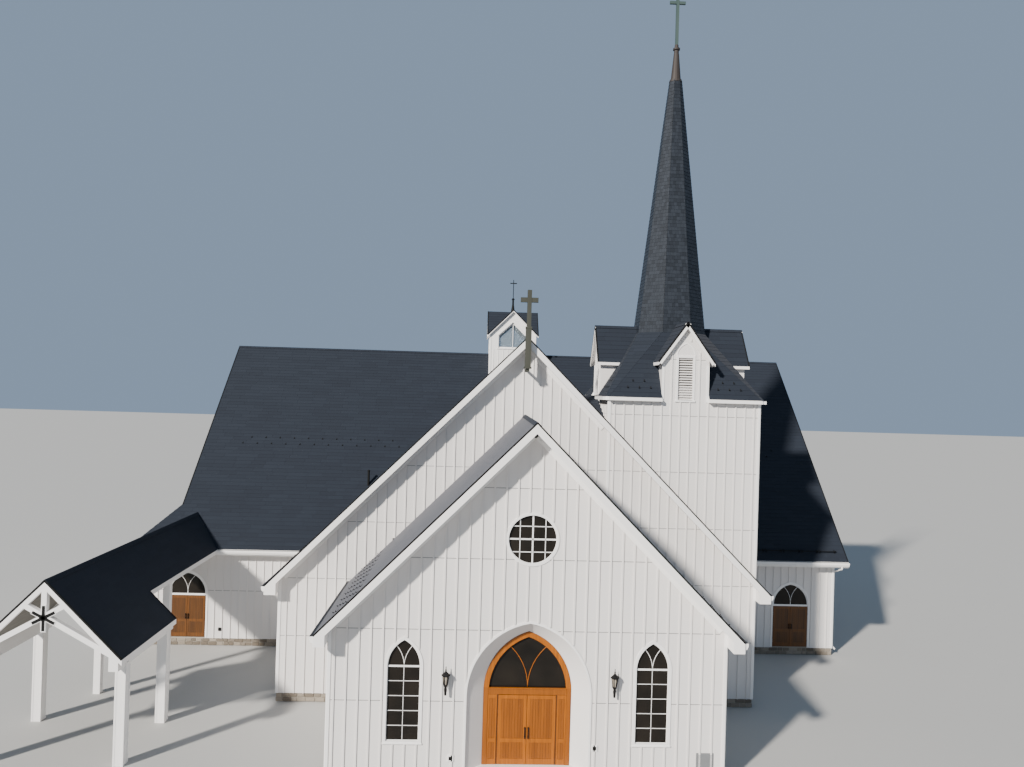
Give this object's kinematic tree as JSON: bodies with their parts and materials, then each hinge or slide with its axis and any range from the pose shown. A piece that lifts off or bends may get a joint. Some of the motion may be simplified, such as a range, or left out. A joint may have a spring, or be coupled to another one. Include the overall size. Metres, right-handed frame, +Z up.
{
  "type": "church building",
  "caption": "Timber church with steep crossing gables, splayed entrance porch, corner tower with eight-sided spire, ridge turret and covered way",
  "frame": {"origin": "ground level under the foundation, on the middle line of the entrance front, 18 m behind the entrance wall", "axes": "+Z up, -Y the way the entrance front faces, +X to the right for someone facing that front"},
  "size_m": [36.89, 35.32, 32.8],
  "materials": {
    "siding": "painted boards and battens, matte white",
    "roof": "dark charcoal shingles, low sheen",
    "stone": "rough fieldstone",
    "trim": "painted smooth white",
    "wood": "oiled timber, satin",
    "glass": "dark clear glass",
    "slate": "rough grey slates",
    "copper": "brown weathered copper",
    "bronze": "dark bronze",
    "verdigris": "green weathered copper"
  },
  "bodies": {
    "root": {"narthex_wall_left": "siding", "narthex_wall_right": "siding", "narthex_wall_gable": "siding", "portal_jamb_left": "siding", "portal_jamb_right": "siding", "nave_wall_left": "siding", "nave_wall_gable": "siding", "transept_wall_over_left_door": "siding", "transept_wall_left": "siding", "transept_wall_right": "siding", "transept_wall_over_right_door": "siding", "transept_wall_outer_right": "siding", "lean_to_walls": "siding", "rear_wall": "siding", "transept_gable_left": "siding", "transept_gable_right": "siding", "tower_walls": "siding", "narthex_roof_left": "roof", "narthex_roof_right": "roof", "nave_roof_left": "roof", "nave_roof_right": "roof", "transept_roof_left": "roof", "transept_roof_right": "roof", "rear_roof": "roof", "lean_to_roof": "roof", "skirt_roof_front": "roof", "skirt_roof_right": "roof", "skirt_roof_rear": "roof", "skirt_roof_left": "roof", "cricket": "roof", "cupola_roof": "roof", "canopy_roof": "roof", "foundation": "stone", "narthex_rake_trim": "trim", "nave_rake_trim": "trim", "cupola_walls": "trim", "canopy_frame_front": "trim", "canopy_frame_rear": "trim", "walkway_frame": "trim", "main_door_frame": "wood", "lancet_left": "glass", "lancet_right": "glass", "round_window": "glass", "main_fanlight": "glass", "left_fanlight": "glass", "right_fanlight": "glass", "rear_glass": "glass", "gable_glass": "glass", "cupola_glass": "glass", "spire": "slate", "spire_cap": "copper", "nave_cross": "bronze", "cupola_finial": "bronze", "spire_cross": "verdigris"},
    "left_leaf_left": {"left_leaf_left": "wood"},
    "left_leaf_right": {"left_leaf_right": "wood"},
    "main_leaf_left": {"main_leaf_left": "wood"},
    "main_leaf_right": {"main_leaf_right": "wood"},
    "right_leaf_left": {"right_leaf_left": "wood"},
    "right_leaf_right": {"right_leaf_right": "wood"}
  },
  "joints": [
    {"name": "main_left_hinge", "type": "hinge", "parent": "root", "child": "main_leaf_left", "pos_m": [-1.03, -17.5086, 1.6], "axis": [0, 0, -1], "range_deg": [0, 95]},
    {"name": "main_right_hinge", "type": "hinge", "parent": "root", "child": "main_leaf_right", "pos_m": [1.03, -17.5086, 1.6], "axis": [0, 0, 1], "range_deg": [0, 95]},
    {"name": "left_left_hinge", "type": "hinge", "parent": "root", "child": "left_leaf_left", "pos_m": [-17.4135, -4.4286, 1.6], "axis": [0, 0, -1], "range_deg": [0, 95]},
    {"name": "left_right_hinge", "type": "hinge", "parent": "root", "child": "left_leaf_right", "pos_m": [-15.5865, -4.4286, 1.6], "axis": [0, 0, 1], "range_deg": [0, 95]},
    {"name": "right_left_hinge", "type": "hinge", "parent": "root", "child": "right_leaf_left", "pos_m": [13.7065, -4.4286, 1.6], "axis": [0, 0, -1], "range_deg": [0, 95]},
    {"name": "right_right_hinge", "type": "hinge", "parent": "root", "child": "right_leaf_right", "pos_m": [15.5335, -4.4286, 1.6], "axis": [0, 0, 1], "range_deg": [0, 95]}
  ]
}
